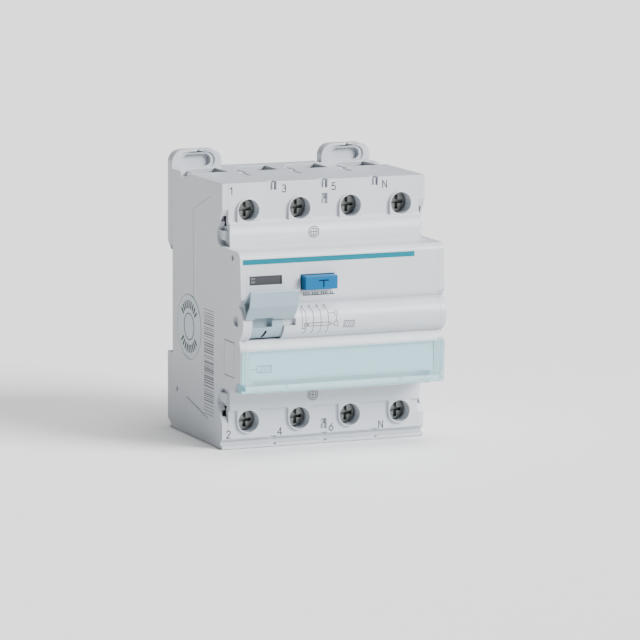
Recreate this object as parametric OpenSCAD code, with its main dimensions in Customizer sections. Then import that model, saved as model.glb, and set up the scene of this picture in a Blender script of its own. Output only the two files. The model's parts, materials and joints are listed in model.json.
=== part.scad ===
// Four-module residual current device for a 35 mm rail.
// X runs across the modules, Y runs from the front (-Y) to the rail, Z runs up.
// Y = 0 is the plane that seats on the rail and Z = 0 is the middle of the rail.

/* [Modules] */
// Width of one module
module_w = 17.5; // [17.4:0.05:17.6]
// Height of the body
body_h = 85; // [84.6:0.2:86]
// Height of the front nose that passes through a panel cut-out
nose_h = 45; // [44.8:0.1:45]
// Depth from the rail plane to the terminal shoulder
shoulder_d = 44; // [43.9:0.1:44.1]
// Depth from the rail plane to the flat front of the nose
nose_d = 59.9; // [59.8:0.1:60]

/* [Shell] */
// Thickness of each side cover
side_t = 2.1; // [2:0.1:2.2]
// Thickness of the front cover and of the rear housing
wall_t = 2; // [1.7:0.1:2.1]
// Gap between mating shells
shell_gap = 0.05; // [0.05:0.05:0.15]

/* [Terminals] */
// Radius of a screwdriver hole
screw_hole_r = 3.5; // [3.3:0.1:3.6]
// Distance of the screw holes from the middle of the rail
screw_z = 33.8; // [33.6:0.1:34]
// Radius of a terminal screw's head
screw_head_r = 3.1; // [2.8:0.1:3.2]
// Radius of a terminal screw's thread
screw_r = 2.5; // [2.2:0.1:2.5]
// Width of a cable entry
entry_w = 10.4; // [9.5:0.1:10.6]

/* [Toggle] */
// Radius of the moulded wave across the nose
wave_r = 6; // [5.9:0.05:6]
// Depth of the toggle's axle in front of the rail plane
axle_d = 55.75; // [55.7:0.05:55.8]
// Radius of the toggle's drum
drum_r = 5.3; // [5.1:0.1:5.3]
// Radius of the toggle's steel axle
axle_r = 1.5; // [1.2:0.1:1.5]

/* [Test button] */
// Width of the test button
button_w = 11.2; // [9:0.1:11.5]
// Height of the test button
button_h = 4.4; // [3.8:0.1:4.4]
// How far the test button stands out of the nose
button_proud = 3.1; // [2.6:0.1:3.3]

/* [Rail clips] */
// Width of a rail clip
clip_w = 17.3; // [16.5:0.1:17.3]
// Height of a clip's ear above the body
ear_h = 5.9; // [5.4:0.1:6.2]

/* [Hidden] */
$fn = 64;

half_w = 2 * module_w;
half_h = body_h / 2;
half_nose = nose_h / 2;
inner_w = half_w - side_t;          // inner faces of the side covers
core_w = inner_w - shell_gap;       // ends of the front cover and of the rear housing
split_y = -14;                      // joint between front cover and rear housing
shield_y = -shoulder_d - 1.35;      // flat bands between the nose and the terminals
shield_z = 29.7;                    // outer edges of the flat bands
rail_half = 17.7;                   // half the rail's height, with clearance
claw_back = 4.5;                    // rear of the rail claws
nose_front = -nose_d;
nose_in = -57;                      // inner face of the nose's front wall
axle_y = -axle_d;
card_y = -58.8;                     // floor of the label recess
hinge_y = -57.4;                    // hinge line of the label cover
hinge_z = -20.9;
hinge_pin_r = 0.7;
lug_w = 2.5;                        // width of the label cover's hinge lugs
bar_front = -15.4;                  // front and rear of the terminal plates
bar_back = -13.9;
head_front = -40.8;                 // front of the screw heads
screw_step = -37.4;                 // step that holds a screw head
clamp_half = 5.6;                   // half the size of a clamp across the screw
drum_x0 = -31.7;                    // ends of the toggle's drum
drum_x1 = -21.1;
crank_y = axle_y + 4 * cos(30);
crank_z = 4 * sin(30);
carrier_pin_y = -32.35;
carrier_pin_z = 3.2;
link_x = -26.5;                     // middle of the drive link
flange_y = -56.8;                   // front of the test button's flange
button_x = -8.8;
button_z = 12.3;
plunger_y = -45;                    // axis of the relay plunger and the trip slider
plunger_z = -11.5;
latch_x = -24;
latch_y = -41;
sensor_y = -25;
sensor_z = -13.5;
rod_places = [[-38, 39.2], [-38, -39.2], [2.2, -30]];   // assembly rods, as Y and Z

// Middle of pole 0 to 3, counted from the left
function pole_x(pole) = (pole - 1.5) * module_w;

// A flat outline drawn in Y and Z, made solid from x0 to x1
module across(x0, x1) {
    translate([x0, 0, 0])
    rotate([90, 0, 90])
    linear_extrude(x1 - x0)
    children();
}

// A box from its low corner to its high corner
module block(low, high) {
    translate(low)
    cube(high - low);
}

module rod_x(at, radius, length) {
    translate(at)
    rotate([0, 90, 0])
    cylinder(r = radius, h = length);
}

module rod_y(at, radius, length) {
    translate(at)
    rotate([-90, 0, 0])
    cylinder(r = radius, h = length);
}

module rod_z(at, radius, length) {
    translate(at)
    cylinder(r = radius, h = length);
}

// A straight groove outline between two points
module line_outline(from, to, width) {
    run = to - from;
    translate(from)
    rotate(atan2(run[1], run[0]))
    translate([-width / 2, -width / 2])
    square([norm(run) + width, width]);
}

// A close-wound coil along +Z, as a solid of revolution with one ridge per turn
module coil(radius, wire, length, turns) {
    pitch = length / turns;
    ridge = wire / 2;
    valley = wire / 5;
    outer = [for (half = [0 : 2 * turns])
        [radius + (half % 2 == 0 ? valley : ridge), half * pitch / 2]];
    inner = [for (half = [2 * turns : -1 : 0])
        [radius - (half % 2 == 0 ? valley : ridge), half * pitch / 2]];
    rotate_extrude()
    polygon(concat(outer, inner));
}

module light_grey() {
    color([0.83, 0.84, 0.86])
    children();
}

module steel() {
    color([0.62, 0.63, 0.65])
    children();
}

module copper() {
    color([0.78, 0.50, 0.33])
    children();
}

module clear() {
    color([0.74, 0.86, 0.89, 0.45])
    children();
}

// ---------------------------------------------------------------- outlines

// The nose from the side: a drafted front, a round wave and a rounded upper edge
module nose_outline() {
    edge_r = 2.5;
    edge_y = nose_front + 0.75;
    polygon([
        [-40, half_nose], [edge_y + edge_r, half_nose], [edge_y, half_nose - edge_r],
        [nose_front, 7.6], [-58.25, 5.45], [nose_in, 5], [nose_in, -5], [-58.05, -5.6],
        [-58.9, -6.7], [nose_front + 0.2, -8.5], [nose_front + 0.8, -18.9],
        [-57.8, -half_nose], [-40, -half_nose]
    ]);
    translate([edge_y + edge_r, half_nose - edge_r])
    circle(r = edge_r);
    translate([axle_y, 0])
    circle(r = wave_r);
}

// The groove above the lip at the foot of the front
module foot_groove() {
    polygon([
        [-46, -half_h + 3.2], [-shoulder_d, -half_h + 3.2], [-shoulder_d + 1.6, -half_h + 2.1],
        [-shoulder_d + 1.6, -half_h + 1.1], [-46, -half_h + 1.1]
    ]);
}

// A side cover, with round necks above and below the nose
module side_outline() {
    neck_r = 3.75;
    neck_z = half_nose + neck_r;
    difference() {
        union() {
            polygon([
                [0, half_h], [-shoulder_d, half_h], [-shoulder_d, -half_h], [-0.3, -half_h],
                [claw_back, -half_h + 2.7], [claw_back, -rail_half], [0, -rail_half]
            ]);
            nose_outline();
        }
        for (side = [-1, 1]) {
            translate([-43.3, side * neck_z])
            circle(r = neck_r);
            polygon([
                [-50, side * neck_z], [-50, side * 34.5], [-shoulder_d, side * 34.5],
                [-41.2, side * 29.7], [-40, side * 28.1], [-43.3, side * neck_z]
            ]);
        }
        translate([hinge_y, hinge_z])
        circle(r = 2.1);
        polygon([
            [-62, -19.4], [hinge_y - 1.4, -19.4], [hinge_y + 1.6, -22.3], [hinge_y + 1.6, -24], [-62, -24]
        ]);
        foot_groove();
    }
}

module cover_outline() {
    polygon([
        [split_y, half_h], [-shoulder_d, half_h], [-shoulder_d, shield_z + 0.9],
        [shield_y, shield_z], [shield_y, -shield_z], [-shoulder_d, -shield_z - 0.9],
        [-shoulder_d, -half_h], [split_y, -half_h]
    ]);
    nose_outline();
}

// The hollow inside the front cover
module cover_hollow() {
    top = half_h - wall_t;
    face = -shoulder_d + wall_t;
    band = shield_y + wall_t;
    nose_top = half_nose - wall_t;
    polygon([
        [split_y + 1, top], [face, top], [face, shield_z], [band, shield_z - 1], [band, nose_top],
        [nose_in, nose_top], [nose_in, -14.5], [-51.5, -nose_top], [band, -nose_top],
        [band, 1 - shield_z], [face, -shield_z], [face, -top], [split_y + 1, -top]
    ]);
}

// ---------------------------------------------------------------- housing

// A thin round boss about a screwdriver hole, which runs into the flat band
module screw_boss(x, side) {
    boss_r = screw_hole_r + 0.4;
    front = shield_y + 0.4;
    rod_y([x, front, side * screw_z], boss_r, screw_step + 1.6 - front);
    across(x - boss_r, x + boss_r)
    polygon([
        [front, side * screw_z], [front, side * (shield_z - 0.5)],
        [-shoulder_d + 1, side * (shield_z - 0.5)], [-shoulder_d + 1, side * screw_z]
    ]);
}

module screw_passage(x, side) {
    rod_y([x, shield_y - 2, side * screw_z], screw_hole_r, screw_step - shield_y + 2);
    rod_y([x, screw_step - 0.5, side * screw_z], screw_r + 0.15, 4);
}

// Stepped slots between the poles, for insulating barriers
module barrier_slots(side) {
    slot_w = 1.1;
    step_x = 1.5;
    for (boundary = [-1, 0, 1])
    translate([boundary * module_w, 0, side * half_h]) {
        block([-slot_w, -26, -1.5], [0, -17, 1.5]);
        block([-slot_w, -18, -1.5], [step_x, -17, 1.5]);
        block([step_x - slot_w, -17.5, -1.5], [step_x, -9, 1.5]);
    }
}

// Small latch slots between the poles at the front edges, with a tongue left in each upper one
module latch_slots() {
    slot_w = 2;
    for (boundary = [-1, 0, 1]) {
        x = boundary * module_w;
        difference() {
            block([x - slot_w / 2, -46, half_h - 2.7], [x + slot_w / 2, -40.5, half_h + 1]);
            block([x - 0.1, -43.3, half_h - 3], [x + 0.5, -40, half_h - 0.3]);
        }
        block([x - slot_w / 2, -46, -half_h + 0.6], [x + slot_w / 2, -42.9, -half_h + 3.4]);
    }
    for (low = [34.8, -37.9])
    difference() {
        block([-1, -46, low], [1, -42.6, low + 3.3]);
        block([-0.2, -43.2, low - 1], [1.2, -40, low + 1.5]);
    }
}

// Openings that the nose's front wall has for what it carries
module nose_openings() {
    // toggle drum, its return spring, and a shallow recess beside it
    block([drum_x0 - 0.15, -63, -5.4], [drum_x1 + 0.15, -50, 6]);
    rod_x([drum_x0 - 0.15, axle_y, 0], drum_r + 0.15, drum_x1 - drum_x0 + 0.3);
    rod_x([drum_x1, axle_y, 0], 2.9, 3.85);
    block([drum_x1, -63, -0.9], [drum_x1 + 4, axle_y - wave_r + 1.5, 1.3]);
    // test button
    block([button_x - button_w / 2 - 0.2, -63, button_z - button_h / 2 - 0.2],
        [button_x + button_w / 2 + 0.2, nose_in + 0.5, button_z + button_h / 2 + 0.2]);
    // indicator window with a ledge behind it
    block([-31.9, -63, 12], [-20.9, -58.3, 14.9]);
    block([-31.2, -63, 12.6], [-21.6, nose_in + 0.5, 14.3]);
    // label card
    block([-31.6, -63, -18], [31.6, card_y, -9.4]);
}

// Room for the label cover's turned-in lip, between the two hinge lugs
module hinge_groove() {
    lug_x = core_w - lug_w;
    across(-lug_x, lug_x) {
        translate([hinge_y, hinge_z])
        circle(r = 2.9);
        polygon([[-62, -19.2], [hinge_y - 1, -19.2], [hinge_y + 1, -23.5], [-62, -23.5]]);
    }
}

module front_cover_walls() {
    difference() {
        union() {
            across(-core_w, core_w)
            cover_outline();
            for (side = [-1, 1])
            rod_x([side > 0 ? core_w - lug_w : -core_w, hinge_y, hinge_z], 1.25, lug_w);
        }
        across(-core_w - 1, core_w + 1)
        cover_hollow();
    }
}

// Supports inside the front cover
module front_cover_ribs() {
    // cheek for the right end of the toggle's axle
    block([-17.3, nose_in - 0.5, -4.5], [-15.3, -51.5, 4.5]);
    // cage about the test button's flange, with its spring seat at the rear
    for (side = [-1, 1])
    block([button_x + side * 7.3 - 0.7, nose_in - 0.5, button_z - 4],
        [button_x + side * 7.3 + 0.7, -49.4, button_z + 4]);
    block([button_x - 8, -50.6, button_z - 4], [button_x + 8, -49.4, button_z + 4]);
    // posts in front of the trip relay
    for (x = [17, 26])
    block([x, nose_in - 0.5, -13], [x + 2, -52.05, -8]);
    // eyes that guide the trip slider
    for (x = [-4, 6])
    block([x, nose_in - 0.5, plunger_z - 2.9], [x + 2, plunger_y + 3, plunger_z + 2.9]);
    // lugs for the assembly rods, and end webs beside the nose
    for (side = [-1, 1]) {
        for (x = [-core_w, -2, core_w - 4])
        block([x, -40, side > 0 ? 37.7 : -half_h + 1], [x + 4, -36, side > 0 ? half_h - 1 : -37.7]);
        for (x = [-core_w, core_w - 1.2])
        block([x, -44, side > 0 ? 22 : -28.8], [x + 1.2, -37.5, side > 0 ? 28.8 : -22]);
    }
}

module front_cover() {
    light_grey()
    difference() {
        union() {
            front_cover_walls();
            front_cover_ribs();
            for (pole = [0 : 3], side = [-1, 1])
            screw_boss(pole_x(pole), side);
        }
        for (pole = [0 : 3], side = [-1, 1])
        screw_passage(pole_x(pole), side);
        for (side = [-1, 1])
        barrier_slots(side);
        latch_slots();
        nose_openings();
        hinge_groove();
        across(-core_w - 1, core_w + 1)
        foot_groove();
        for (place = rod_places)
        rod_x([-half_w, place[0], place[1]], 1, 2 * half_w);
        rod_x([-half_w, hinge_y, hinge_z], hinge_pin_r + 0.05, 2 * half_w);
        rod_x([-half_w, axle_y, 0], axle_r + 0.05, 25);
        rod_y([button_x, -52, button_z], 1.7, 4);
        block([-5, plunger_y - 1.7, plunger_z - 1.3], [9, plunger_y + 1.7, plunger_z + 1.3]);
    }
}

// Rear wall with the rail seat, claws, clip guides and pole barriers
module rear_housing_solid() {
    back = -1.7;
    seat_half = 15.9;
    // rear wall with its raised seat, then the top and bottom walls
    block([-core_w, back, -half_h + 1], [core_w, -0.2, half_h - 1]);
    block([-core_w, back, -seat_half], [core_w, 0, seat_half]);
    block([-core_w, split_y, half_h - wall_t], [core_w, 0, half_h]);
    block([-core_w, split_y, -half_h], [core_w, 0, -half_h + wall_t]);
    // lower claws, which hook behind the rail's lower edge
    across(-core_w, core_w)
    polygon([
        [-0.5, -half_h], [-0.3, -half_h], [claw_back, -half_h + 2.7], [claw_back, -16.9],
        [claw_back - 0.8, -16.2], [1.4, -16.2], [1.4, -rail_half], [-0.5, -rail_half]
    ]);
    // block between the clips
    block([-16.7, -0.5, rail_half], [16.7, claw_back, half_h]);
    // undercut guides for the clips
    for (side = [-1, 1])
    translate([side * 1.5 * module_w, 0, 0]) {
        block([-2.5, -0.5, 23], [2.5, 1.5, 41]);
        block([-4, 1.4, 23], [4, 2.6, 41]);
    }
    // barriers between the poles, and the shelves that carry the bars
    for (boundary = [-1, 0, 1], side = [-1, 1])
    block([boundary * module_w - 0.8, split_y, side > 0 ? 27.4 : -half_h + 1],
        [boundary * module_w + 0.8, back + 0.5, side > 0 ? half_h - 1 : -27.4]);
    block([-core_w, bar_back + 0.05, 20], [core_w, back + 0.5, 22]);
    block([-core_w, bar_back + 0.05, -27], [core_w, back + 0.5, -25.4]);
    // cradle for the current sensor and bracket for the latch
    block([-6, sensor_y + 15.1, sensor_z - 4], [6, back + 0.5, sensor_z + 4]);
    block([latch_x - 2, latch_y - 2, plunger_z - 5.2], [latch_x + 2, back + 0.5, plunger_z - 2.2]);
}

module rear_housing() {
    light_grey()
    difference() {
        rear_housing_solid();
        // cable entries
        for (pole = [0 : 3], side = [-1, 1])
        block([pole_x(pole) - entry_w / 2, split_y - 1, side > 0 ? half_h - wall_t - 1 : -half_h - 1],
            [pole_x(pole) + entry_w / 2, -1.9, side > 0 ? half_h + 1 : -half_h + wall_t + 1]);
        // pockets that lighten the claws and the middle block
        for (pole = [0 : 3])
        block([pole_x(pole) - 6, 1.3, -38], [pole_x(pole) + 6, claw_back + 1, -33]);
        for (pole = [0 : 3])
        block([pole_x(pole) - 6, 1.3, -27], [pole_x(pole) + 6, claw_back + 1, -22]);
        for (pole = [1, 2], z = [21, 32])
        block([pole_x(pole) - 6, 1.3, z], [pole_x(pole) + 6, claw_back + 1, z + 7]);
        for (side = [-1, 1])
        barrier_slots(side);
        for (place = rod_places)
        rod_x([-half_w, place[0], place[1]], 1, 2 * half_w);
        rod_z([latch_x, latch_y, plunger_z - 6], 0.8, 5);
    }
}

// Left side cover. The right one is its mirror image.
module side_cover() {
    light_grey()
    difference() {
        union() {
            across(-half_w, -inner_w)
            side_outline();
            // latch fingers that reach forward into the necks
            for (side = [-1, 1])
            block([-half_w + 0.9, -43.6, side * 26 - 1.5], [-inner_w, -39, side * 26 + 1.5]);
        }
        // accessory hole in the nose and a blind one near the foot
        rod_x([-half_w - 1, -52.84, 20.2], 0.9, side_t + 2);
        rod_x([-half_w - 1, -4.1, -29], 0.9, 2.4);
        // latch slots beside the necks, and a notch in the upper edge
        for (side = [-1, 1])
        block([-half_w + 0.7, -46, side * 31.2 - 0.9], [-inner_w + 1, -40.5, side * 31.2 + 0.9]);
        block([-half_w - 1, -13.2, half_h - 1.6], [-inner_w + 1, -7.6, half_h + 1]);
        // oval coupling pocket, with the axle's blind bore on the inner face
        across(-half_w - 1, -half_w + 1)
        hull()
        for (y = [-56.3, -55.2])
        translate([y, 0.6])
        circle(r = 1.7);
        rod_x([-half_w + 1.3, axle_y, 0], axle_r, 2);
        for (place = rod_places)
        rod_x([-half_w + 0.8, place[0], place[1]], 1, 2);
        moulded_lines();
    }
}

// Fine lines in the outer face: a knock-out, a round field and a V-shaped step
module moulded_lines() {
    line_w = 0.35;
    depth = 0.3;
    corners = [[-54.2, -6.6], [-45.7, -6.6], [-45.7, -17.7], [-54.2, -17.7]];
    step_line = [[-34, 37.4], [-18.9, 31.9], [-18.9, -1.5], [-13.1, -30.3], [-31, -34.3]];
    across(-half_w - 1, -half_w + depth) {
        for (i = [0 : 3])
        line_outline(corners[i], corners[(i + 1) % 4], line_w);
        for (i = [0, 1, 3])
        line_outline(step_line[i], step_line[i + 1], line_w);
        difference() {
            translate([-15.2, -7])
            circle(r = 10.7);
            translate([-15.2, -7])
            circle(r = 10.7 - line_w);
        }
    }
}

module left_side_cover() {
    side_cover();
}

module right_side_cover() {
    mirror([1, 0, 0])
    side_cover();
}

module assembly_rods() {
    steel()
    for (place = rod_places)
    rod_x([-half_w + 0.9, place[0], place[1]], 1, 2 * half_w - 1.8);
}

// ---------------------------------------------------------------- nose fittings

module label_card() {
    color([0.95, 0.96, 0.97])
    block([-31.4, card_y - 0.3, -17.9], [31.4, card_y, -9.5]);
}

// Clear flap over the label, with its pins at the two lower corners
module label_cover() {
    plate_w = half_w - 0.15;
    lip_w = core_w - lug_w - 0.3;
    top = [-60.9, -8.75];
    bottom = [-60.35, -21.2];
    clear() {
        across(-plate_w, plate_w)
        polygon([
            top, bottom, [-59.9, -22], [-59.4, -22], [-59.35, -20.3], [-59.85, -8.75]
        ]);
        across(-lip_w, lip_w)
        polygon([
            bottom, [-59.6, -22.4], [hinge_y, -22.5], [hinge_y, -21.9], [-58.9, -21.75], [-59.36, -20.6]
        ]);
        for (side = [-1, 1]) {
            across(side > 0 ? 33.1 : -34.6, side > 0 ? 34.6 : -33.1) {
                translate([hinge_y, hinge_z])
                circle(r = 1.55);
                polygon([
                    [hinge_y, -22.45], [-59.9, -22.3], bottom, [-60.4, -19.6], [-59.4, -19.6],
                    [hinge_y - 1, -19.8]
                ]);
            }
            rod_x([side > 0 ? 31 : -33.5, hinge_y, hinge_z], hinge_pin_r, 2.5);
        }
    }
}

module indicator_window() {
    color([0.55, 0.60, 0.64, 0.6])
    block([-31.8, -59, 12.1], [-21, -58.3, 14.8]);
}

// Slides down behind the window as the toggle goes to off
module indicator_flag() {
    color([0.30, 0.31, 0.33])
    block([-31, -56.8, 11.6], [-21.8, -56, 19.4]);
}

// ---------------------------------------------------------------- toggle and contacts

// Drum, neck and hollow grip, drawn at on
module toggle_lever() {
    color([0.69, 0.76, 0.79])
    difference() {
        union() {
            rod_x([drum_x0, axle_y, 0], drum_r, drum_x1 - drum_x0);
            across(drum_x0, drum_x1)
            polygon([for (at = [[4.8, 34], [6.7, 34], [6.7, 47], [6.7, 59], [4.8, 59]])
                [axle_y - at[0] * cos(at[1]), at[0] * sin(at[1])]]);
            across(-34.3, -17.7)
            difference() {
                polygon([
                    [-61.8, 1.2], [-65.8, 6], [-66.6, 10.95], [-65.9, 11.4], [-60.5, 7.3],
                    [-59.5, 5.5], [-59.6, 3.6]
                ]);
                translate([axle_y, 0])
                circle(r = wave_r + 0.3);
            }
        }
        // hollow of the grip, open to the left
        across(-35, -18.9)
        polygon([[-62.3, 3.1], [-65.1, 6.3], [-65.8, 10.2], [-61, 6.8]]);
        // recess across the drum below the grip
        block([drum_x0 + 0.5, -63, -1.1], [-24.9, axle_y - 3.3, 2]);
        rod_x([-40, axle_y, 0], axle_r + 0.05, 30);
        // slot and pin hole for the drive link
        block([link_x - 1.1, axle_y + 0.9, -8], [link_x + 1.1, axle_y + 8, 4.6]);
        rod_x([link_x - 3, crank_y, crank_z], 0.9, 6);
    }
}

module toggle_axle() {
    steel()
    rod_x([-half_w + 1.35, axle_y, 0], axle_r, half_w - 16.8);
}

module toggle_spring() {
    coil_l = 3;
    steel() {
        translate([-20.6, axle_y, 0])
        rotate([0, 90, 0])
        coil(2.1, 0.5, coil_l, 5);
        // leg that rests on the cheek
        block([-18.4, axle_y - 0.3, -5.5], [-17.8, axle_y + 0.3, -1.9]);
    }
}

module crank_pin() {
    steel()
    rod_x([link_x - 3, crank_y, crank_z], 0.9, 6);
}

// Its rear eye is wide, because the linkage is opened at that pivot
module drive_link() {
    run = [carrier_pin_y - crank_y, carrier_pin_z - crank_z];
    steel()
    across(link_x - 0.8, link_x + 0.8)
    difference() {
        union() {
            translate([crank_y, crank_z])
            circle(r = 1.6);
            translate([crank_y, crank_z])
            rotate(atan2(run[1], run[0]))
            translate([0, -1.1])
            square([norm(run) - 2, 2.2]);
            translate([carrier_pin_y, carrier_pin_z])
            circle(r = 3.1);
        }
        translate([crank_y, crank_z])
        circle(r = 0.95);
        translate([carrier_pin_y, carrier_pin_z])
        circle(r = 2.1);
    }
}

// Beam across all poles, with a fork for the link and a post for each contact
module contact_carrier() {
    color([0.35, 0.33, 0.31]) {
        difference() {
            block([-31, -24, 8], [31, -20, 14]);
            for (boundary = [-1, 0, 1])
            block([boundary * module_w - 1.1, -21, 7], [boundary * module_w + 1.1, -19, 15]);
        }
        for (side = [-1, 1])
        block([link_x + side * 2.4 - 0.9, -34.2, 0.8], [link_x + side * 2.4 + 0.9, -21, 8.5]);
        rod_x([link_x - 2.4, carrier_pin_y, carrier_pin_z], 1, 4.8);
        for (pole = [0 : 3])
        rod_y([pole_x(pole), -20.5, 11], 1, 2.6);
    }
}

// Double-break bridges, one for each pole
module moving_contacts() {
    copper()
    for (pole = [0 : 3]) {
        block([pole_x(pole) - 2.5, -17.9, 4], [pole_x(pole) + 2.5, -16.9, 18]);
        for (z = [6, 16])
        rod_y([pole_x(pole), -17, z], 2, 0.55);
    }
}

module contact_springs() {
    steel()
    for (pole = [0 : 3])
    translate([pole_x(pole), -19.95, 11])
    rotate([-90, 0, 0])
    coil(1.75, 0.45, 2, 3);
}

// ---------------------------------------------------------------- conductors

// From a line terminal to the upper fixed contact
module line_bar(pole) {
    x = pole_x(pole);
    copper() {
        block([x - 4, bar_front, 25], [x + 4, bar_back, 39.5]);
        block([x - 2.5, bar_front, 13.5], [x + 2.5, bar_back, 26]);
        rod_y([x, bar_front - 1, 16], 2.2, 1.2);
    }
}

// From the lower fixed contact, through the current sensor, to a load terminal
module load_bar(pole) {
    x = pole_x(pole);
    outer = pole == 0 || pole == 3;
    through_x = x < 0 ? -2.2 : 2.2;
    through_y = sensor_y + (outer ? 2.2 : -2.2);
    high = outer ? -5.5 : -1.5;
    low = outer ? -21.5 : -25.5;
    r = 1.5;
    copper() {
        block([x - 2.5, bar_front, high - r], [x + 2.5, bar_back, 8.5]);
        rod_y([x, bar_front - 1, 6], 2.2, 1.2);
        for (z = [high, low]) {
            block([x - r, through_y - r, z - r], [x + r, bar_back, z + r]);
            block([min(x, through_x) - r, through_y - r, z - r],
                [max(x, through_x) + r, through_y + r, z + r]);
        }
        block([through_x - r, through_y - r, low - r], [through_x + r, through_y + r, high + r]);
        block([x - r, bar_front, -29], [x + r, bar_back, low]);
        block([x - 4, bar_front, -39.5], [x + 4, bar_back, -28.2]);
    }
}

module line_bar_1() { line_bar(0); }
module line_bar_3() { line_bar(1); }
module line_bar_5() { line_bar(2); }
module line_bar_n() { line_bar(3); }
module load_bar_2() { load_bar(0); }
module load_bar_4() { load_bar(1); }
module load_bar_6() { load_bar(2); }
module load_bar_n() { load_bar(3); }

// ---------------------------------------------------------------- sensor, relay and test circuit

// The ring that all four load bars pass through
module sensor_core() {
    color([0.38, 0.38, 0.40])
    translate([0, sensor_y, sensor_z])
    difference() {
        rod_z([0, 0, -4], 14, 8);
        rod_z([0, 0, -5], 8, 10);
    }
}

module sensor_winding() {
    copper()
    translate([0, sensor_y, sensor_z])
    rotate(120)
    difference() {
        rotate_extrude(angle = 300)
        translate([7, -5])
        square([8, 10]);
        rod_z([0, 0, -4], 14, 8);
    }
}

module circuit_board() {
    color([0.20, 0.42, 0.28])
    block([-14, -45.2, 1], [30, -43.8, 19]);
}

module test_resistor() {
    color([0.80, 0.72, 0.55]) {
        rod_x([4, -47, 6], 1.4, 9);
        for (x = [2.6, 13.8])
        block([x, -47.3, 5.7], [x + 0.6, -45.2, 6.3]);
        block([2.6, -47.3, 5.7], [14.4, -46.7, 6.3]);
    }
}

module test_contact() {
    copper() {
        block([button_x - 2, -46.2, 3], [button_x + 2, -45.2, 5.5]);
        block([button_x - 1.5, -46.4, 3], [button_x + 1.5, -46.1, button_z + 2]);
        rod_y([button_x, -46.6, button_z], 1, 0.3);
    }
}

// Cap, retaining flange and stem
module test_button() {
    color([0.13, 0.52, 0.75]) {
        block([button_x - button_w / 2, -59.7 - button_proud, button_z - button_h / 2],
            [button_x + button_w / 2, flange_y + 0.5, button_z + button_h / 2]);
        block([button_x - 6.2, flange_y, button_z - 3.4], [button_x + 6.2, flange_y + 1.2, button_z + 3.4]);
        rod_y([button_x, flange_y + 0.5, button_z], 1.4, 7.4);
    }
}

module button_spring() {
    steel()
    translate([button_x, flange_y + 1.25, button_z])
    rotate([-90, 0, 0])
    coil(2.2, 0.5, 4.85, 4);
}

module trip_relay() {
    color([0.16, 0.17, 0.18])
    difference() {
        block([16.6, -52, plunger_z - 7], [30.5, -38, plunger_z + 7]);
        block([17.6, -51, plunger_z - 6], [29.5, -39, plunger_z + 6]);
        rod_x([10, plunger_y, plunger_z], 1.6, 10);
        block([18, -53, plunger_z - 4], [28, -50, plunger_z + 4]);
    }
}

module relay_coil() {
    copper()
    difference() {
        rod_x([18.5, plunger_y, plunger_z], 4.8, 10);
        rod_x([18, plunger_y, plunger_z], 1.3, 11);
    }
}

module relay_plunger() {
    steel()
    rod_x([11, plunger_y, plunger_z], 1.2, 15);
}

// Carries the relay's push across to the latch beside the toggle
module trip_slider() {
    color([0.92, 0.92, 0.90]) {
        block([-21.6, plunger_y - 1.5, plunger_z - 1.1], [10.9, plunger_y + 1.5, plunger_z + 1.1]);
        rod_z([-21.8, plunger_y, plunger_z - 1.1], 0.5, 2.2);
    }
}

module latch_lever() {
    steel()
    difference() {
        block([latch_x - 1.4, -47, plunger_z - 2], [latch_x + 1.4, latch_y + 1.8, plunger_z + 1]);
        rod_z([latch_x, latch_y, plunger_z - 3], 0.85, 5);
    }
}

module latch_pin() {
    steel()
    rod_z([latch_x, latch_y, plunger_z - 5.2], 0.8, 7);
}

// ---------------------------------------------------------------- rail clips

// Slides up on the guide behind the housing. Its hook holds the rail's upper edge.
module rail_clip(side) {
    front = 0.3;
    back = 4.4;
    hook_z = 16;
    top = half_h + ear_h;
    edge_r = 4;
    light_grey()
    translate([side * 1.5 * module_w, 0, 0])
    difference() {
        union() {
            block([-clip_w / 2, front, hook_z], [clip_w / 2, back, top - edge_r]);
            block([edge_r - clip_w / 2, front, top - edge_r - 1], [clip_w / 2 - edge_r, back, top]);
            for (end = [-1, 1])
            rod_y([end * (clip_w / 2 - edge_r), front, top - edge_r], edge_r, back - front);
        }
        // room for the rail's edge, and the ramp under the hook
        block([-10, front - 1, hook_z - 1], [10, 1.5, rail_half]);
        across(-10, 10)
        polygon([
            [1.4, hook_z - 0.1], [back + 0.1, hook_z + 2.7], [back + 0.1, hook_z - 1],
            [1.4, hook_z - 1]
        ]);
        // undercut slot for the guide
        block([-2.65, front - 1, 18.9], [2.65, 2, 41.2]);
        block([-4.15, 1.25, 18.9], [4.15, 2.75, 41.2]);
        // finger pocket in the ear, stepped, with a small notch above it
        ear_pocket(front + 0.5, 3.5, 2.7);
        ear_pocket(front + 2.2, 2.9, 2);
        block([-0.8, front - 1, top - 0.7], [0.8, front + 1, top + 1]);
    }
}

// An oval hollow in the front of an ear, down to the plane at floor_y
module ear_pocket(floor_y, reach, radius) {
    across_y(-1, floor_y) {
        for (end = [-1, 1])
        translate([end * reach, 44.8])
        circle(r = radius);
        translate([-reach, 44.8 - radius])
        square([2 * reach, 2 * radius]);
    }
}

// A flat outline drawn in X and Z, made solid from y0 to y1
module across_y(y0, y1) {
    translate([0, y1, 0])
    rotate([90, 0, 0])
    linear_extrude(y1 - y0)
    children();
}

module left_rail_clip() {
    rail_clip(-1);
}

module right_rail_clip() {
    rail_clip(1);
}

// ---------------------------------------------------------------- terminals

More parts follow.
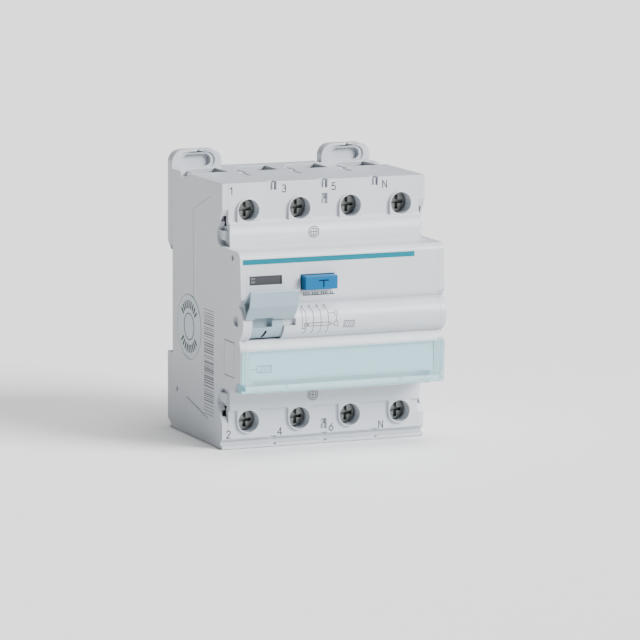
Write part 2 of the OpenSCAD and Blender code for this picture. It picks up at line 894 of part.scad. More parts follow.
// Cross-slotted screw, held by a step in the front cover
module terminal_screw(pole, side) {
    slot_w = 1.1;
    slot_l = 4.6;
    steel()
    translate([pole_x(pole), 0, side * screw_z])
    difference() {
        union() {
            rod_y([0, head_front, 0], screw_head_r, screw_step - head_front - 0.1);
            rod_y([0, screw_step - 0.6, 0], screw_r, bar_front - 0.1 - screw_step + 0.6);
        }
        for (turn = [0, 90])
        rotate([0, turn, 0])
        block([-slot_l / 2, head_front - 1, -slot_w / 2], [slot_l / 2, head_front + 1.8, slot_w / 2]);
    }
}

// Steel box that the screw draws forward, to press the cable against the bar
module clamp(pole, side) {
    steel()
    translate([pole_x(pole), 0, side * screw_z])
    difference() {
        block([-clamp_half, -20, -clamp_half], [clamp_half, -1.95, clamp_half]);
        block([1.2 - clamp_half, -17, -clamp_half - 1], [clamp_half - 1.2, -3.45, clamp_half + 1]);
        rod_y([0, -21, 0], screw_r + 0.05, 5);
    }
}

module terminal_screw_1() { terminal_screw(0, 1); }
module terminal_screw_3() { terminal_screw(1, 1); }
module terminal_screw_5() { terminal_screw(2, 1); }
module terminal_screw_n1() { terminal_screw(3, 1); }
module terminal_screw_2() { terminal_screw(0, -1); }
module terminal_screw_4() { terminal_screw(1, -1); }
module terminal_screw_6() { terminal_screw(2, -1); }
module terminal_screw_n2() { terminal_screw(3, -1); }
module clamp_1() { clamp(0, 1); }
module clamp_3() { clamp(1, 1); }
module clamp_5() { clamp(2, 1); }
module clamp_n1() { clamp(3, 1); }
module clamp_2() { clamp(0, -1); }
module clamp_4() { clamp(1, -1); }
module clamp_6() { clamp(2, -1); }
module clamp_n2() { clamp(3, -1); }

rear_housing();
front_cover();
left_side_cover();
right_side_cover();
assembly_rods();
label_card();
label_cover();
indicator_window();
indicator_flag();
toggle_lever();
toggle_axle();
toggle_spring();
crank_pin();
drive_link();
contact_carrier();
moving_contacts();
contact_springs();
line_bar_1();
line_bar_3();
line_bar_5();
line_bar_n();
load_bar_2();
load_bar_4();
load_bar_6();
load_bar_n();
sensor_core();
sensor_winding();
circuit_board();
test_resistor();
test_contact();
test_button();
button_spring();
trip_relay();
relay_coil();
relay_plunger();
trip_slider();
latch_lever();
latch_pin();
left_rail_clip();
right_rail_clip();
terminal_screw_1();
terminal_screw_3();
terminal_screw_5();
terminal_screw_n1();
terminal_screw_2();
terminal_screw_4();
terminal_screw_6();
terminal_screw_n2();
clamp_1();
clamp_3();
clamp_5();
clamp_n1();
clamp_2();
clamp_4();
clamp_6();
clamp_n2();
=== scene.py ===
import json
import math
import random

import bmesh
import bpy
from mathutils import Matrix, Vector
from mathutils.bvhtree import BVHTree

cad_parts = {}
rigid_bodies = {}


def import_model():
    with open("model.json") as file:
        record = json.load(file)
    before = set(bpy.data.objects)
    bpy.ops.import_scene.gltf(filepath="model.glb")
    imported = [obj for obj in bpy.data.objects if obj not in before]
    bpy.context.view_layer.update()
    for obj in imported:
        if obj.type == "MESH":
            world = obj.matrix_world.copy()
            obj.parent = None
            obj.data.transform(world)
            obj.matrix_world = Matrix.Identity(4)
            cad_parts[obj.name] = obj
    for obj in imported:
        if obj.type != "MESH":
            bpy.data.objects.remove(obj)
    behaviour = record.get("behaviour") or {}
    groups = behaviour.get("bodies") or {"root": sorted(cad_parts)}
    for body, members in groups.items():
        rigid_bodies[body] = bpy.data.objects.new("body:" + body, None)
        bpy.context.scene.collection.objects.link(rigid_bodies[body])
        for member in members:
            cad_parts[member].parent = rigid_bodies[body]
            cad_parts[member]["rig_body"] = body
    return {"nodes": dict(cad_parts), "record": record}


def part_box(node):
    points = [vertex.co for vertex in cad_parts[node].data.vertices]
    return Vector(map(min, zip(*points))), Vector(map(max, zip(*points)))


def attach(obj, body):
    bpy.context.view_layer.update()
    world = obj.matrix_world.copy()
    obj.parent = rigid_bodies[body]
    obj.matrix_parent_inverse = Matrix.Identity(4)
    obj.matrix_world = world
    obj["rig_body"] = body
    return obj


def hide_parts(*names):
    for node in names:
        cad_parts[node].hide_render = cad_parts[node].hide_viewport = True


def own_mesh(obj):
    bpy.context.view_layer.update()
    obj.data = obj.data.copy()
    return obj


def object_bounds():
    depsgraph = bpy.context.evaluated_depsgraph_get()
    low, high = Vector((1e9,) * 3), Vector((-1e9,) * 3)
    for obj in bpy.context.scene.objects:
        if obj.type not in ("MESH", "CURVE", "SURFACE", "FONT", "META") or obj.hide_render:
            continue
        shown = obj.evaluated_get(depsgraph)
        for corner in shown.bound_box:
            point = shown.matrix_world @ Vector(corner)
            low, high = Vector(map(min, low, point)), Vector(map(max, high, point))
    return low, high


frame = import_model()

CAD_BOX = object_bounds()
SCENE = bpy.context.scene.collection
MM = 0.001


def mm(*values):
    return Vector(values) * MM


# ---------------------------------------------------------------- materials

class Nodes:
    """Builds one procedural material on a Principled shader."""

    def __init__(self, name, roughness=0.5, **inputs):
        self.material = bpy.data.materials.new(name)
        self.material.use_nodes = True
        self.tree = self.material.node_tree
        self.shader = self.tree.nodes["Principled BSDF"]
        self.shader.inputs["Roughness"].default_value = roughness
        for key, value in inputs.items():
            self.shader.inputs[key.replace("_", " ")].default_value = value
        self.place = self.tree.nodes.new("ShaderNodeTexCoord").outputs["Object"]

    def link(self, output, node, key):
        self.tree.links.new(output, node.inputs[key])

    def stretched(self, scale):
        """Object coordinates, stretched by a scale along each axis."""
        node = self.tree.nodes.new("ShaderNodeMapping")
        node.inputs["Scale"].default_value = scale
        self.link(self.place, node, "Vector")
        return node.outputs["Vector"]

    def noise(self, scale, detail=3.0, stretch=None):
        node = self.tree.nodes.new("ShaderNodeTexNoise")
        node.inputs["Scale"].default_value = scale
        node.inputs["Detail"].default_value = detail
        self.link(self.stretched(stretch) if stretch else self.place, node, "Vector")
        return node.outputs["Fac"]

    def ramp(self, factor, stops):
        node = self.tree.nodes.new("ShaderNodeValToRGB")
        elements = node.color_ramp.elements
        while len(elements) < len(stops):
            elements.new(0.5)
        for element, (position, colour) in zip(elements, stops):
            element.position = position
            element.color = (*colour, 1)
        self.link(factor, node, "Fac")
        return node.outputs["Color"]

    def span(self, factor, low, high):
        node = self.tree.nodes.new("ShaderNodeMapRange")
        node.inputs["To Min"].default_value = low
        node.inputs["To Max"].default_value = high
        self.link(factor, node, "Value")
        return node.outputs["Result"]

    def bump(self, height, strength, distance):
        node = self.tree.nodes.new("ShaderNodeBump")
        node.inputs["Strength"].default_value = strength
        node.inputs["Distance"].default_value = distance
        self.link(height, node, "Height")
        self.link(node.outputs["Normal"], self.shader, "Normal")


def shades(colour, spread):
    """A darker and a lighter version of a colour."""
    return (tuple(c * (1 - spread) for c in colour), tuple(min(1, c * (1 + spread)) for c in colour))


def moulded(name, colour, roughness, grain=1800.0, depth=0.00002, spread=0.025, **inputs):
    """Moulded plastic: a fine spark-eroded grain, slow colour drift and uneven gloss."""
    made = Nodes(name, **inputs)
    dark, light = shades(colour, spread)
    drift = made.noise(55.0, 4.0)
    made.link(made.ramp(drift, [(0.3, dark), (0.7, light)]), made.shader, "Base Color")
    gloss = made.span(made.noise(170.0, 2.0), roughness - 0.05, roughness + 0.06)
    made.link(gloss, made.shader, "Roughness")
    made.bump(made.noise(grain, 2.0), 0.35, depth)
    return made.material


def metal(name, colour, roughness, stretch, scale=900.0, spread=0.12):
    """Drawn or plated metal: fine lines along one axis, and dull patches."""
    made = Nodes(name, Metallic=1.0)
    dark, light = shades(colour, spread)
    lines = made.noise(scale, 4.0, stretch)
    made.link(made.ramp(made.noise(240.0, 3.0), [(0.3, dark), (0.7, light)]), made.shader, "Base Color")
    made.link(made.span(lines, roughness - 0.1, roughness + 0.12), made.shader, "Roughness")
    made.bump(lines, 0.3, 0.00001)
    return made.material


def clear_plastic(name, colour, roughness, cover):
    """Clear polycarbonate: a thin tint over what is behind it, with flow lines from the mould."""
    made = Nodes(name, IOR=1.5, Alpha=cover)
    dark, light = shades(colour, 0.03)
    flow = made.noise(60.0, 2.0, (0.4, 1.0, 1.6))
    made.link(made.ramp(flow, [(0.3, dark), (0.7, light)]), made.shader, "Base Color")
    made.link(made.span(flow, roughness, roughness + 0.05), made.shader, "Roughness")
    made.bump(flow, 0.1, 0.00003)
    return made.material


def ink(name, colour):
    """Pad-printed ink, slightly mottled."""
    made = Nodes(name, Specular_IOR_Level=0.12)
    dark, light = shades(colour, 0.08)
    mottle = made.noise(2200.0, 2.0)
    made.link(made.ramp(mottle, [(0.35, dark), (0.65, light)]), made.shader, "Base Color")
    made.link(made.span(mottle, 0.4, 0.55), made.shader, "Roughness")
    return made.material


LOOKS = {
    "housing": moulded("housing_plastic", (0.50, 0.53, 0.57), 0.36),
    # The label card's colour is darker than the card itself: painted shade for the shade behind the
    # clear cover
    "card": moulded("label_card", (0.48, 0.62, 0.67), 0.6, 900.0, 0.00001),
    "clear_cover": clear_plastic("clear_polycarbonate", (0.36, 0.72, 0.80), 0.08, 0.2),
    "window": moulded("smoked_window", (0.035, 0.037, 0.042), 0.3, 700.0, 0.000005),
    "toggle": moulded("toggle_plastic", (0.25, 0.34, 0.39), 0.32),
    "button": moulded("button_plastic", (0.0, 0.105, 0.25), 0.4, 1500.0, 0.00001,
                      Specular_IOR_Level=0.15),
    "flag": moulded("flag_plastic", (0.05, 0.05, 0.055), 0.5),
    "carrier": moulded("thermoset", (0.06, 0.05, 0.045), 0.5, 1200.0, 0.00003),
    "black_plastic": moulded("relay_plastic", (0.02, 0.02, 0.022), 0.42),
    "white_plastic": moulded("slider_plastic", (0.75, 0.75, 0.72), 0.4),
    "board": moulded("solder_mask", (0.02, 0.12, 0.05), 0.3, 500.0, 0.00002, 0.15),
    "resistor": moulded("resistor_lacquer", (0.52, 0.40, 0.22), 0.35),
    "steel": metal("drawn_steel", (0.56, 0.57, 0.59), 0.32, (0.05, 1.0, 1.0)),
    # The screw metal is darker than plated steel: painted shade of the deep holes that the screw heads
    # sit in
    "screw_steel": metal("shaded_plated_screw", (0.17, 0.18, 0.175), 0.3, (1.0, 0.2, 1.0)),
    "clamp_steel": metal("plated_sheet", (0.52, 0.53, 0.52), 0.4, (1.0, 1.0, 0.1)),
    "copper": metal("bare_copper", (0.72, 0.39, 0.24), 0.35, (1.0, 1.0, 0.1)),
    "core": metal("wound_strip", (0.20, 0.20, 0.21), 0.5, (0.1, 0.1, 6.0), 700.0),
    "winding": metal("enamelled_wire", (0.50, 0.20, 0.07), 0.3, (1.0, 1.0, 1.0), 500.0),
}
TEAL_INK = ink("teal_ink", (0.0, 0.15, 0.205))
GREY_INK = ink("grey_ink", (0.05, 0.055, 0.06))
PALE_INK = ink("pale_ink", (0.13, 0.14, 0.15))
BLUE_INK = ink("blue_ink", (0.001, 0.012, 0.04))
BLACK_INK = ink("black_ink", (0.012, 0.012, 0.014))
# Painted shade for the clear cover's edges and a painted highlight for its lip, as tints of clear
# plastic
SHADED_CLEAR_EDGE = clear_plastic("clear_edge_painted_shade", (0.22, 0.60, 0.69), 0.15, 0.62)
LIT_CLEAR_LIP = clear_plastic("clear_lip_painted_highlight", (0.52, 0.76, 0.82), 0.2, 0.5)
STICKER = moulded("sticker_film", (0.44, 0.52, 0.56), 0.3, 600.0, 0.000004)


# ---------------------------------------------------------------- pieces

def piece(name, mesh, body, material, replaces=()):
    """A finished mesh as an object that rides on a body."""
    made = bpy.data.objects.new(name, mesh)
    mesh.materials.clear()
    mesh.materials.append(material)
    SCENE.objects.link(made)
    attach(made, body)
    if replaces:
        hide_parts(*replaces)
    return made


def body_of(node):
    return frame["nodes"][node]["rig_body"]


def slot_of(node):
    return next(s["material_slot"] for s in frame["record"]["subparts"] if s["node"] == node)


def mesh_of(name, build, smooth_angle=None):
    """A mesh from a function that fills a bmesh."""
    work = bmesh.new()
    build(work)
    bmesh.ops.recalc_face_normals(work, faces=work.faces)
    made = bpy.data.meshes.new(name)
    work.to_mesh(made)
    work.free()
    if smooth_angle:
        made.shade_smooth()
        made.set_sharp_from_angle(angle=math.radians(smooth_angle))
    return made


SHARP_ANGLE, SMOOTH_ANGLE, FLAT_ANGLE = 28.0, 32.0, 0.5  # degrees
MERGE = 0.001 * MM
ON_PLANE, SAME_PLANE = 0.02 * MM, 0.01 * MM


def softened(node, radius, plain_planes):
    """A copy of a CAD node with its sharp edges rounded, shown in its place.

    Edges that lie in one of the plain planes, given as distances from X = 0, stay sharp.
    """
    def is_rounded(edge):
        if len(edge.link_faces) != 2 or edge.calc_face_angle(0.0) < math.radians(SHARP_ANGLE):
            return False
        far = [abs(vert.co.x) for vert in edge.verts]
        return not any(abs(x - plane) < ON_PLANE and abs(far[0] - far[1]) < SAME_PLANE
                       for plane in plain_planes for x in far)

    def build(work):
        work.from_mesh(frame["nodes"][node].data)
        bmesh.ops.remove_doubles(work, verts=work.verts, dist=MERGE)
        bmesh.ops.dissolve_limit(work, angle_limit=math.radians(FLAT_ANGLE), verts=work.verts,
                                 edges=work.edges)
        edges = [edge for edge in work.edges if is_rounded(edge)]
        bmesh.ops.bevel(work, geom=edges, offset=radius * MM, offset_type="OFFSET", segments=2,
                        profile=0.5, affect="EDGES", clamp_overlap=False)

    mesh = mesh_of(node + "_soft", build, SMOOTH_ANGLE)
    made = piece(node + "_soft", mesh, body_of(node), LOOKS[slot_of(node)], [node])
    weighted = made.modifiers.new("weighted", "WEIGHTED_NORMAL")
    weighted.keep_sharp = True
    return made


SOFT_EDGES = {
    "front_cover": 0.14, "rear_housing": 0.14, "left_side_cover": 0.14, "right_side_cover": 0.14,
    "left_rail_clip": 0.15, "right_rail_clip": 0.15, "toggle_lever": 0.25, "test_button": 0.35,
    "label_cover": 0.12,
}
# The joint between the front cover and the side covers is close and nearly flush.
SEAM_PLANES = (max(abs(corner.x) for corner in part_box("front_cover")) / MM,
               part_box("right_side_cover")[0].x / MM)
shown = {node: softened(node, radius, [plane * MM for plane in SEAM_PLANES])
         for node, radius in SOFT_EDGES.items()}

# The edges of the clear cover get a darker, more opaque tint: painted shade, for the light that gathers
# in them and makes them look deeper than its faces. Its lip gets a lighter tint that looks milky: a
# painted highlight.
EDGE_FACING = 0.55
LIP_TOP_Z = -21.0
cover = shown["label_cover"].data
for material in (SHADED_CLEAR_EDGE, LIT_CLEAR_LIP):
    cover.materials.append(material)
for face in cover.polygons:
    if abs(face.normal.y) < EDGE_FACING:
        face.material_index = cover.materials.find(SHADED_CLEAR_EDGE.name)
    elif face.center.z < LIP_TOP_Z * MM:
        face.material_index = cover.materials.find(LIT_CLEAR_LIP.name)


# ---------------------------------------------------------------- springs and winding

def tube(work, path, radius, closed=False, sides=8):
    """Adds a round wire along a path of points."""
    count = len(path)
    side = None
    rings = []
    for i, point in enumerate(path):
        before = path[i - 1] if i or closed else point
        after = path[(i + 1) % count] if i + 1 < count or closed else point
        along = (after - before).normalized()
        side = (side or along.orthogonal()).cross(along).cross(along).normalized()
        up = along.cross(side)
        turns = [2 * math.pi * k / sides for k in range(sides)]
        rings.append([work.verts.new(point + (side * math.cos(t) + up * math.sin(t)) * radius)
                      for t in turns])
    for i in range(count if closed else count - 1):
        one, two = rings[i], rings[(i + 1) % count]
        shift = 0
        if closed and i == count - 1:
            gaps = [(one[0].co - two[k].co).length for k in range(sides)]
            shift = gaps.index(min(gaps))
        for k in range(sides):
            work.faces.new([one[k], one[(k + 1) % sides],
                            two[(k + 1 + shift) % sides], two[(k + shift) % sides]])
    if not closed:
        work.faces.new(rings[0])
        work.faces.new(rings[-1])


STEPS_PER_TURN = 20
WIRE_SMOOTH = 60  # degrees


def helix(start, end, radius, turns, flat_ends=0.75):
    """Points of a coil from start to end, with a closed turn at each end."""
    along = end - start
    side = along.orthogonal().normalized()
    up = along.normalized().cross(side)
    steps = int(turns * STEPS_PER_TURN)
    points = []
    for i in range(steps + 1):
        turn = turns * i / steps
        share = min(max((turn - flat_ends) / (turns - 2 * flat_ends), 0), 1)
        angle = 2 * math.pi * turn
        points.append(start + along * share + (side * math.cos(angle) + up * math.sin(angle)) * radius)
    return points


def coil_in(work, low, high, axis, wire, turns):
    """A coil spring that fills a box along one axis."""
    middle = (low + high) / 2
    across = [i for i in range(3) if i != axis]
    radius = min(high[i] - low[i] for i in across) / 2 - wire
    start, end = middle.copy(), middle.copy()
    start[axis], end[axis] = low[axis] + wire, high[axis] - wire
    tube(work, helix(start, end, radius, turns), wire)


WIRE, CONTACT_WIRE = 0.25 * MM, 0.22 * MM  # radius
button_low, button_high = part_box("button_spring")
button_spring = piece(
    "button_spring_wire",
    mesh_of("button_spring_wire", lambda work: coil_in(work, button_low, button_high, 1, WIRE, 6.5),
            WIRE_SMOOTH),
    "root", LOOKS["steel"], ["button_spring"])
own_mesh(button_spring)


POLES = 4


def contact_coils(work):
    """One coil over each pole's moving contact."""
    low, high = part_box("contact_springs")
    width = high.z - low.z
    pitch = (high.x - low.x - width) / (POLES - 1)
    for pole in range(POLES):
        corner = Vector((low.x + pole * pitch, low.y, low.z))
        coil_in(work, corner, corner + Vector((width, high.y - low.y, width)), 1, CONTACT_WIRE, 3.5)


piece("contact_spring_wires", mesh_of("contact_spring_wires", contact_coils, WIRE_SMOOTH),
      body_of("contact_springs"), LOOKS["steel"], ["contact_springs"])


def torsion_spring(work):
    """Coil about the toggle's axle, with a leg that rests on the cheek."""
    low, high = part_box("toggle_spring")
    axle_low, axle_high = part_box("toggle_axle")
    centre = (axle_low + axle_high) / 2
    radius = high.z - centre.z - WIRE
    start, end = centre.copy(), centre.copy()
    start.x, end.x = low.x + WIRE, high.x - 0.4 * MM
    path = helix(start, end, radius, 5.25, 0.5)
    path.append(Vector((path[-1].x, centre.y, low.z + WIRE)))
    tube(work, path, WIRE)


piece("toggle_spring_wire", mesh_of("toggle_spring_wire", torsion_spring, WIRE_SMOOTH),
      body_of("toggle_spring"), LOOKS["steel"], ["toggle_spring"])


TURNS = 58
TURN_WIRE = 0.36 * MM
TURN_INNER, TURN_CLEAR = 7.4 * MM, 0.6 * MM  # inner radius, and distance outside the core
FIRST_TURN, TURN_SPREAD = 123, 294  # degrees
CORNER_SHARES = (0.08, 0.35, 0.65, 0.92)  # points of each side of a turn, clear of its corners


def toroid_turns(work):
    """Single turns of wire about the sensor's ring, with a gap at the rear."""
    low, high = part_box("sensor_winding")
    core_low, core_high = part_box("sensor_core")
    centre = (core_low + core_high) / 2
    top = (high.z - low.z) / 2 - TURN_WIRE
    outer = (core_high.x - core_low.x) / 2 + TURN_CLEAR
    corners = [(TURN_INNER, -top), (outer, -top), (outer, top), (TURN_INNER, top)]
    for i in range(TURNS):
        angle = math.radians(FIRST_TURN + TURN_SPREAD * i / (TURNS - 1))
        out_way = Vector((math.cos(angle), math.sin(angle), 0))
        path = []
        for k in range(4):
            here, following = Vector(corners[k]), Vector(corners[(k + 1) % 4])
            for share in CORNER_SHARES:
                at = here.lerp(following, share)
                path.append(centre + out_way * at.x + Vector((0, 0, at.y)))
        tube(work, path, TURN_WIRE, closed=True, sides=6)


piece("sensor_turns", mesh_of("sensor_turns", toroid_turns, WIRE_SMOOTH),
      body_of("sensor_winding"), LOOKS["winding"], ["sensor_winding"])


# ---------------------------------------------------------------- prints

PROUD = 0.05 * MM
STEP, DRUM_STEP = 0.7, 0.15  # between points of a stroke, on flat and on closely curved surfaces
SEAM_NUDGES = [step * MM for step in (0, 0.08, -0.08)]  # to look beside a seam that a ray falls into
FRONT, LEFT = 1, 0


def skin(nodes, axis):
    """A function that gives the point of the nodes' surface seen from the front or the left."""
    points, faces = [], []
    for node in nodes:
        data = frame["nodes"][node].data
        data.calc_loop_triangles()
        first = len(points)
        points += [vert.co.copy() for vert in data.vertices]
        faces += [[first + i for i in tri.vertices] for tri in data.loop_triangles]
    tree = BVHTree.FromPolygons(points, faces)
    across = 0 if axis == FRONT else 1

    def at(u, v, lift=0.0):
        origin = Vector((0, 0, v * MM))
        origin[across] = u * MM
        origin[axis] = CAD_BOX[0][axis] - 1.0
        way = Vector((0, 0, 0))
        way[axis] = 1.0
        for nudge in SEAM_NUDGES:
            aside = origin.copy()
            aside[across] += nudge
            hit = tree.ray_cast(aside, way)[0]
            if hit:
                break
        origin[axis] = hit[axis] - lift
        return origin
    return at


def ribbon(work, at, start, end, width, step=STEP):
    """A thin raised stroke between two points of a surface."""
    run = Vector(end) - Vector(start)
    steps = max(1, math.ceil(run.length / step))
    along = run.normalized() * width / 2
    side = Vector((-along.y, along.x))
    first, last = Vector(start) - along, Vector(end) + along
    rows = []
    for i in range(steps + 1):
        middle = first.lerp(last, i / steps)
        corners = ((-side, -PROUD), (-side, PROUD), (side, PROUD), (side, -PROUD))
        rows.append([work.verts.new(at(*(middle + offset), lift)) for offset, lift in corners])
    for one, two in zip(rows, rows[1:]):
        for k in range(4):
            work.faces.new([one[k], one[(k + 1) % 4], two[(k + 1) % 4], two[k]])
    work.faces.new(rows[0])
    work.faces.new(rows[-1])


def strokes(at, lines, width, step=STEP):
    """A function that fills a bmesh with strokes along polylines in millimetres."""
    def build(work):
        for line in lines:
            for start, end in zip(line, line[1:]):
                ribbon(work, at, start, end, width, step)
    return build


def printed(name, nodes, axis, lines, width, material, step=STEP):
    """Strokes in ink on the surface of nodes of one body."""
    mesh = mesh_of(name, strokes(skin(nodes, axis), lines, width, step))
    piece(name, mesh, body_of(nodes[0]), material)


def arc(x, z, radius, start, end, steps=14):
    """Points of an arc between two angles in degrees."""
    angles = [math.radians(start + (end - start) * i / steps) for i in range(steps + 1)]
    return [(x + radius * math.cos(a), z + radius * math.sin(a)) for a in angles]


def frame_line(x0, z0, x1, z1):
    """The outline of a rectangle."""
    return [(x0, z0), (x1, z0), (x1, z1), (x0, z1), (x0, z0)]


# Strokes of each character in a cell one unit high
CHARACTERS = {
    "1": [[(0.1, 0.8), (0.32, 1.0), (0.32, 0.0)]],
    "2": [arc(0.3, 0.72, 0.28, 165, -35) + [(0.02, 0.0), (0.6, 0.0)]],
    "3": [arc(0.28, 0.76, 0.24, 150, -90), arc(0.28, 0.27, 0.27, 90, -150)],
    "4": [[(0.44, 0.0), (0.44, 1.0), (0.0, 0.3), (0.62, 0.3)]],
    "5": [[(0.54, 1.0), (0.12, 1.0), (0.07, 0.54)] + arc(0.28, 0.31, 0.31, 130, -150)],
    "6": [[(0.5, 1.0), (0.12, 0.55)], arc(0.3, 0.3, 0.3, 0, 360, 20)],
    "N": [[(0.0, 0.0), (0.0, 1.0), (0.6, 0.0), (0.6, 1.0)]],
    "T": [[(0.0, 1.0), (1.5, 1.0)], [(0.75, 1.0), (0.75, 0.0)]],
}
CELL_W = 0.6


def character(which, x, z, height):
    """Lines of one character, centred at x and z."""
    return [[(x + (u - CELL_W / 2) * height, z + (v - 0.5) * height) for u, v in line]
            for line in CHARACTERS[which]]


TERMINAL_MARKS = [
    ("1", -31.74, 40.07), ("3", -13.88, 40.19), ("5", 3.17, 40.15), ("N", 20.85, 40.09),
    ("2", -32.86, -37.72), ("4", -15.24, -37.82), ("6", 2.56, -37.55), ("N", 19.92, -37.83),
]
MARK_H, MARK_W = 2.3, 0.28
marks = [line for which, x, z in TERMINAL_MARKS for line in character(which, x, z, MARK_H)]
SHELL_FRONT = ("front_cover", "left_side_cover")
printed("terminal_marks", SHELL_FRONT, FRONT, marks, MARK_W, GREY_INK)

STRIPE, STRIPE_W = [(-33.2, 19.4), (23.9, 19.4)], 1.6
printed("teal_stripe", SHELL_FRONT, FRONT, [STRIPE], STRIPE_W, TEAL_INK)

BUTTON_T, BUTTON_T_W = [[(-9.5, 13.0), (-6.6, 13.0)], [(-8.05, 13.0), (-8.05, 11.1)]], 0.38
printed("button_mark", ["test_button"], FRONT, BUTTON_T, BUTTON_T_W, BLUE_INK)

DRUM_I, DRUM_I_W = [(-26.8, -2.7), (-27.4, -4.3)], 0.8
printed("toggle_mark", ["toggle_lever"], FRONT, [DRUM_I], DRUM_I_W, BLACK_INK, DRUM_STEP)

WINDOW_STROKES, WINDOW_W = [[(-30.9, 13.0), (-30.2, 13.0)], [(-30.9, 14.1), (-30.2, 14.1)]], 0.7
printed("window_mark", ["indicator_window"], FRONT, WINDOW_STROKES, WINDOW_W, PALE_INK)

# A row of short strokes in groups of four over a line, in place of small print under the button
BAR_X, BAR_Z = (-13.8, -3.3), (8.15, 8.95)
BAR_STEP, BAR_W = 0.62, 0.26
BAR_GROUP = 5
bar_places = [BAR_X[0] + i * BAR_STEP for i in range(int((BAR_X[1] - BAR_X[0]) / BAR_STEP) + 1)
              if i % BAR_GROUP != BAR_GROUP - 1]
legend = [[(x, BAR_Z[0]), (x, BAR_Z[1])] for x in bar_places] + [[(x, BAR_Z[0]) for x in BAR_X]]
printed("button_legend", SHELL_FRONT, FRONT, legend, BAR_W, GREY_INK)

# Wiring diagram: four poles with their switches, the sensor's loop, the test line and the relay
POLE_LINES = (-13.6, -11.1, -8.5, -6.0)
COIL_HATCH = [[(-0.6 + 0.7 * i, -2.5), (0.1 + 0.7 * i, -0.4)] for i in range(5)]
DIAGRAM_W = 0.16
diagram = [
    [(-14.87, 4.2), (-14.87, -2.2), (-13.6, -2.2)],
    frame_line(-14.1, -1.5, -5.2, -0.5),
    [(-6.0, 2.3), (-3.8, 2.3)],
    frame_line(-3.8, 1.8, -2.8, 2.8),
    frame_line(-4.0, -1.8, -2.65, -0.4),
    [(-5.2, -1.1), (-4.0, -1.1)],
    [(-3.3, 1.8), (-3.3, -0.4)],
]
for x in POLE_LINES:
    diagram += [
        [(x - 1.0, 4.8), (x, 2.9), (x, -3.2)],
        [(x, -3.2), (x - 0.6, -3.9)],
        [(x - 0.4, 4.9), (x - 0.9, 4.2)],
    ]
diagram += [frame_line(-13.2, -1.2, -12.7, -0.8), frame_line(-0.6, -2.5, 2.9, -0.4)] + COIL_HATCH
printed("wiring_diagram", SHELL_FRONT, FRONT, diagram, DIAGRAM_W, GREY_INK)

# Tightening symbols on the bands: two rings about a cross
SYMBOLS_AT = [(-4.2, 26.1), (-4.4, -26.4)]
RING_R, INNER_RING_R, CROSS_R = 1.75, 1.15, 1.1
SYMBOL_W = 0.24
symbols = []
for x, z in SYMBOLS_AT:
    symbols += [
        arc(x, z, RING_R, 0, 360, 28),
        arc(x, z, INNER_RING_R, 0, 360, 20),
        [(x - CROSS_R, z), (x + CROSS_R, z)],
        [(x, z - CROSS_R), (x, z + CROSS_R)],
    ]
printed("tightening_symbols", SHELL_FRONT, FRONT, symbols, SYMBOL_W, PALE_INK)

# A line into a hatched field on the label card
FIELD = (-29.2, -15.8, -24.2, -13.6)
LEAD = [(-31.2, -14.7), (FIELD[0], -14.7)]
HATCH_STEP, HATCH_LEAN = 0.8, 0.5
CARD_W = 0.22
hatch = [[(FIELD[0] + HATCH_STEP * i, FIELD[1]), (FIELD[0] + HATCH_STEP * i + HATCH_LEAN, FIELD[3])]
         for i in range(1, 6)]
printed("card_symbol", ["label_card"], FRONT, [LEAD, frame_line(*FIELD)] + hatch, CARD_W, PALE_INK)

# The clear cover's lip, in three lengths between its seams, drawn in the lighter lip tint as a painted
# highlight, and its side ribs and the lip's seams, drawn in the darker edge tint as painted shade lines
LIP_Z, LIP_W = -20.45, 1.2
LIP_LENGTHS = [(-32.9, -20.6), (-18.8, 18.6), (20.4, 32.3)]
RIB_X, RIB_Z = (-33.9, 33.3), (-9.6, -19.4)
LIP_SEAM_X, LIP_SEAM_Z = (-19.7, 19.5), (-20.0, -21.0)
RIB_W = 0.26
lip = [[(x0, LIP_Z), (x1, LIP_Z)] for x0, x1 in LIP_LENGTHS]
ribs = [[(x, z) for z in RIB_Z] for x in RIB_X] + [[(x, z) for z in LIP_SEAM_Z] for x in LIP_SEAM_X]
printed("cover_lip_highlight", ["label_cover"], FRONT, lip, LIP_W, LIT_CLEAR_LIP)
printed("cover_rib_shade", ["label_cover"], FRONT, ribs, RIB_W, SHADED_CLEAR_EDGE)

# Round sticker on the left side, with ticks in place of lettering
STICKER_AT = (-15.2, -7.0)
STICKER_R, STICKER_INNER_R = 10.3, 4.3


def sticker_disc(work):
    at = skin(["left_side_cover"], LEFT)
    plane = at(*STICKER_AT).x
    rim = arc(*STICKER_AT, STICKER_R, 0, 360, 72)[:-1]
    lower = [work.verts.new(Vector((plane + PROUD, y * MM, z * MM))) for y, z in rim]
    upper = [work.verts.new(Vector((plane - PROUD, y * MM, z * MM))) for y, z in rim]
    work.faces.new(lower)
    work.faces.new(upper)
    for i in range(len(rim)):
        following = (i + 1) % len(rim)
        work.faces.new([lower[i], lower[following], upper[following], upper[i]])


piece("side_sticker", mesh_of("side_sticker", sticker_disc), "root", STICKER)


TICK_R = (6.4, 8.2)
TICK_TURN = 13  # degrees
STICKER_RING_W, TICK_W = 0.3, 0.8


def sticker_ticks():
    """Short radial lines in two groups, above and below the centre."""
    ticks = []
    for middle in (90, 270):
        for place in range(-4, 5):
            angle = math.radians(middle + TICK_TURN * place)
            ticks.append([(STICKER_AT[0] + r * math.cos(angle), STICKER_AT[1] + r * math.sin(angle))
                          for r in TICK_R])
    return ticks


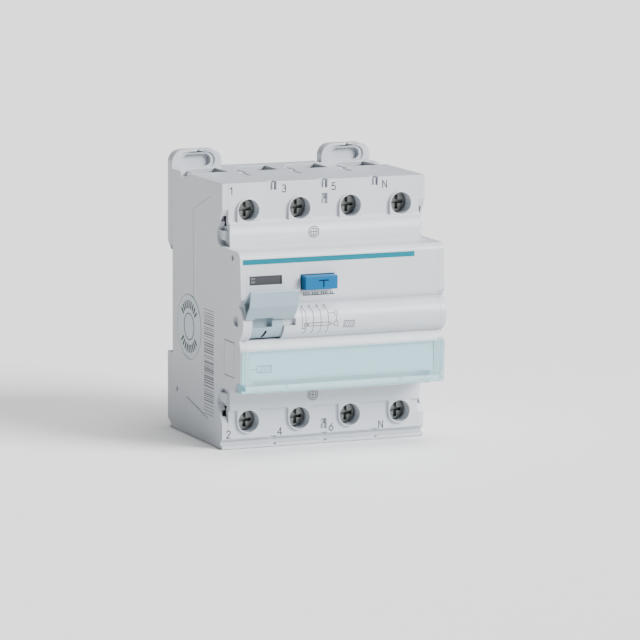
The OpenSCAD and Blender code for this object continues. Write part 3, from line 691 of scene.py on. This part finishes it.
def on_sticker(name, lines, width, material):
    """Strokes on top of the sticker."""
    top = skin(["left_side_cover"], LEFT)(*STICKER_AT).x - PROUD

    def at(u, v, lift=0.0):
        return Vector((top - lift, u * MM, v * MM))

    piece(name, mesh_of(name, strokes(at, lines, width)), "root", material)


sticker_ring = arc(*STICKER_AT, STICKER_INNER_R, 0, 360, 36)
on_sticker("sticker_ring", [sticker_ring], STICKER_RING_W, GREY_INK)
on_sticker("sticker_ticks", sticker_ticks(), TICK_W, GREY_INK)

# Strip of bars of uneven width, beside the sticker
STRIP_Y, STRIP_Z = (-36.6, -28.6), (-33.0, 1.0)
STRIP_BAR_W, STRIP_PITCHES = 0.2, (0.62, 0.8, 1.05)
WIDE_BAR_SHARE = 0.35
chance = random.Random(5)
bars, z = [], STRIP_Z[0]
while z < STRIP_Z[1]:
    bars.append([(y, z) for y in STRIP_Y])
    if chance.random() < WIDE_BAR_SHARE:
        bars.append([(y, z + STRIP_BAR_W) for y in STRIP_Y])
    z += chance.choice(STRIP_PITCHES)
printed("bar_strip", ["left_side_cover"], LEFT, bars, STRIP_BAR_W, PALE_INK)


# ---------------------------------------------------------------- carried-over CAD nodes

for node, thing in frame["nodes"].items():
    if not thing.hide_render:
        thing.data.materials.clear()
        thing.data.materials.append(LOOKS[slot_of(node)])


# ---------------------------------------------------------------- camera, floor and light

# The photograph's viewpoint: from the left, a little above, far off through a long lens.
CAMERA_AT = mm(-526.6, -1288.9, 205.3)
CAMERA_AZIMUTH = math.radians(22.874)
CAMERA_DOWN = math.radians(8.751)
CAMERA_ROLL = math.radians(0.195)
CAMERA_LENS = 240.9
CAMERA_SENSOR = 36.0
CAMERA_CLIP = (0.05, 20.0)

lens = bpy.data.cameras.new("camera")
lens.lens = CAMERA_LENS
lens.sensor_width = CAMERA_SENSOR
lens.clip_start, lens.clip_end = CAMERA_CLIP
camera = bpy.data.objects.new("camera", lens)
SCENE.objects.link(camera)
look = Vector((math.sin(CAMERA_AZIMUTH) * math.cos(CAMERA_DOWN),
               math.cos(CAMERA_AZIMUTH) * math.cos(CAMERA_DOWN), -math.sin(CAMERA_DOWN)))
aim = look.to_track_quat("-Z", "Y").to_matrix().to_4x4()
camera.matrix_world = Matrix.Translation(CAMERA_AT) @ aim @ Matrix.Rotation(CAMERA_ROLL, 4, "Z")
bpy.context.scene.camera = camera

FLOOR_HALF = 3.0
FLOOR_GAP = 0.2 * MM
floor_z = CAD_BOX[0].z - FLOOR_GAP


def fill_floor(work):
    corners = [(-1, -1), (1, -1), (1, 1), (-1, 1)]
    work.faces.new([work.verts.new((x * FLOOR_HALF, y * FLOOR_HALF, floor_z)) for x, y in corners])


floor = bpy.data.objects.new("floor", mesh_of("floor", fill_floor))
paper = Nodes("floor_paper", 0.8)
shade = paper.ramp(paper.noise(3.0), [(0.3, (0.90, 0.90, 0.90)), (0.7, (0.92, 0.92, 0.92))])
paper.link(shade, paper.shader, "Base Color")
floor.data.materials.append(paper.material)
SCENE.objects.link(floor)

WORLD_STRENGTH = 0.1
WORLD_COLOUR = (0.9, 0.95, 1.0, 1.0)
world = bpy.data.worlds.new("studio")
world.use_nodes = True
world.node_tree.nodes["Background"].inputs["Color"].default_value = WORLD_COLOUR
world.node_tree.nodes["Background"].inputs["Strength"].default_value = WORLD_STRENGTH
bpy.context.scene.world = world


def soft_light(name, towards, strength, width_degrees):
    """A wide, even light that shines towards a direction."""
    data = bpy.data.lights.new(name, "SUN")
    data.energy = strength
    data.angle = math.radians(width_degrees)
    made = bpy.data.objects.new(name, data)
    made.rotation_mode = "QUATERNION"
    made.rotation_quaternion = Vector(towards).to_track_quat("-Z", "Y")
    SCENE.objects.link(made)


soft_light("key", towards=(-0.75, 0.9, -0.65), strength=7.2, width_degrees=30)
soft_light("top", towards=(-0.1, 0.1, -1.0), strength=3.2, width_degrees=40)
